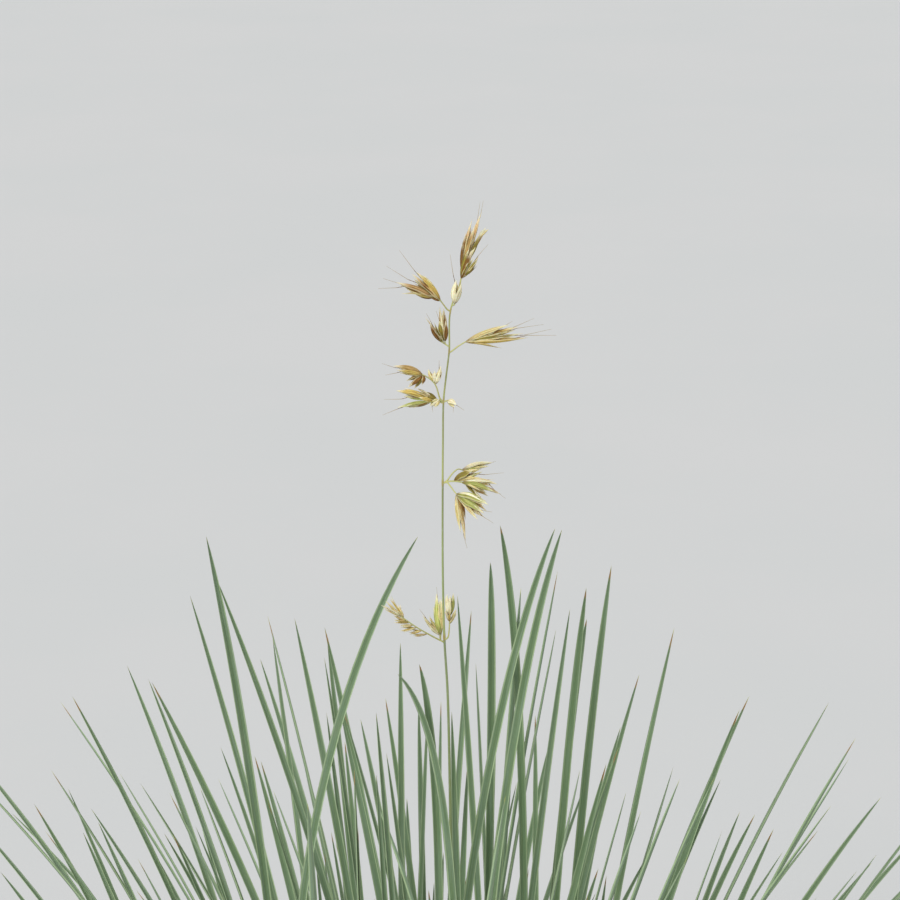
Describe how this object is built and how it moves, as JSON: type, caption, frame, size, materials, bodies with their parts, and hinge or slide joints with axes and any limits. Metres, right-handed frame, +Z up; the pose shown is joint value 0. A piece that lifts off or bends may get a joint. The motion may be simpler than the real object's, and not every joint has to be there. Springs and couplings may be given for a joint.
{
  "type": "potted blue oat grass",
  "caption": "Tuft of narrow blue-green grass leaves in a plain clay pot, with a ripe straw-coloured flower spray on a thin stem; stands on the pot's flat base.",
  "frame": {"origin": "middle of the pot's flat underside, on the plant's upright axis", "axes": "+Z up along the flower stem; +X to the right in the picture; the picture looks along +Y and slightly down"},
  "size_m": [0.5174, 0.5235, 0.691],
  "materials": {
    "clay": "matte",
    "potting_mix": "matte",
    "leaf": "satin",
    "stem": "satin",
    "straw": "matte"
  },
  "bodies": {
    "root": {"pot": "clay", "soil": "potting_mix", "stem": "stem", "spray_low_left": "straw", "spray_low_right": "straw", "spray_drooping": "straw", "spray_left": "straw", "spray_right_pale": "straw", "spray_dark": "straw", "spray_right": "straw", "spray_top_left": "straw", "spray_top_pale": "straw", "spray_tip": "straw", "shoot_01": "leaf", "shoot_02": "leaf", "shoot_03": "leaf", "shoot_04": "leaf", "shoot_05": "leaf", "shoot_06": "leaf", "shoot_07": "leaf", "shoot_08": "leaf", "shoot_09": "leaf", "shoot_10": "leaf", "shoot_11": "leaf", "shoot_12": "leaf", "shoot_13": "leaf", "shoot_14": "leaf", "shoot_15": "leaf", "shoot_16": "leaf", "shoot_17": "leaf", "shoot_18": "leaf", "shoot_19": "leaf", "shoot_20": "leaf", "shoot_21": "leaf", "shoot_22": "leaf", "shoot_23": "leaf", "shoot_24": "leaf", "shoot_25": "leaf", "shoot_26": "leaf", "shoot_27": "leaf", "shoot_28": "leaf", "shoot_29": "leaf", "shoot_30": "leaf", "shoot_31": "leaf", "shoot_32": "leaf", "shoot_33": "leaf", "shoot_34": "leaf", "shoot_35": "leaf", "shoot_36": "leaf", "shoot_37": "leaf", "shoot_38": "leaf", "shoot_39": "leaf", "shoot_40": "leaf", "shoot_41": "leaf", "shoot_42": "leaf", "shoot_43": "leaf", "shoot_44": "leaf"}
  },
  "joints": []
}
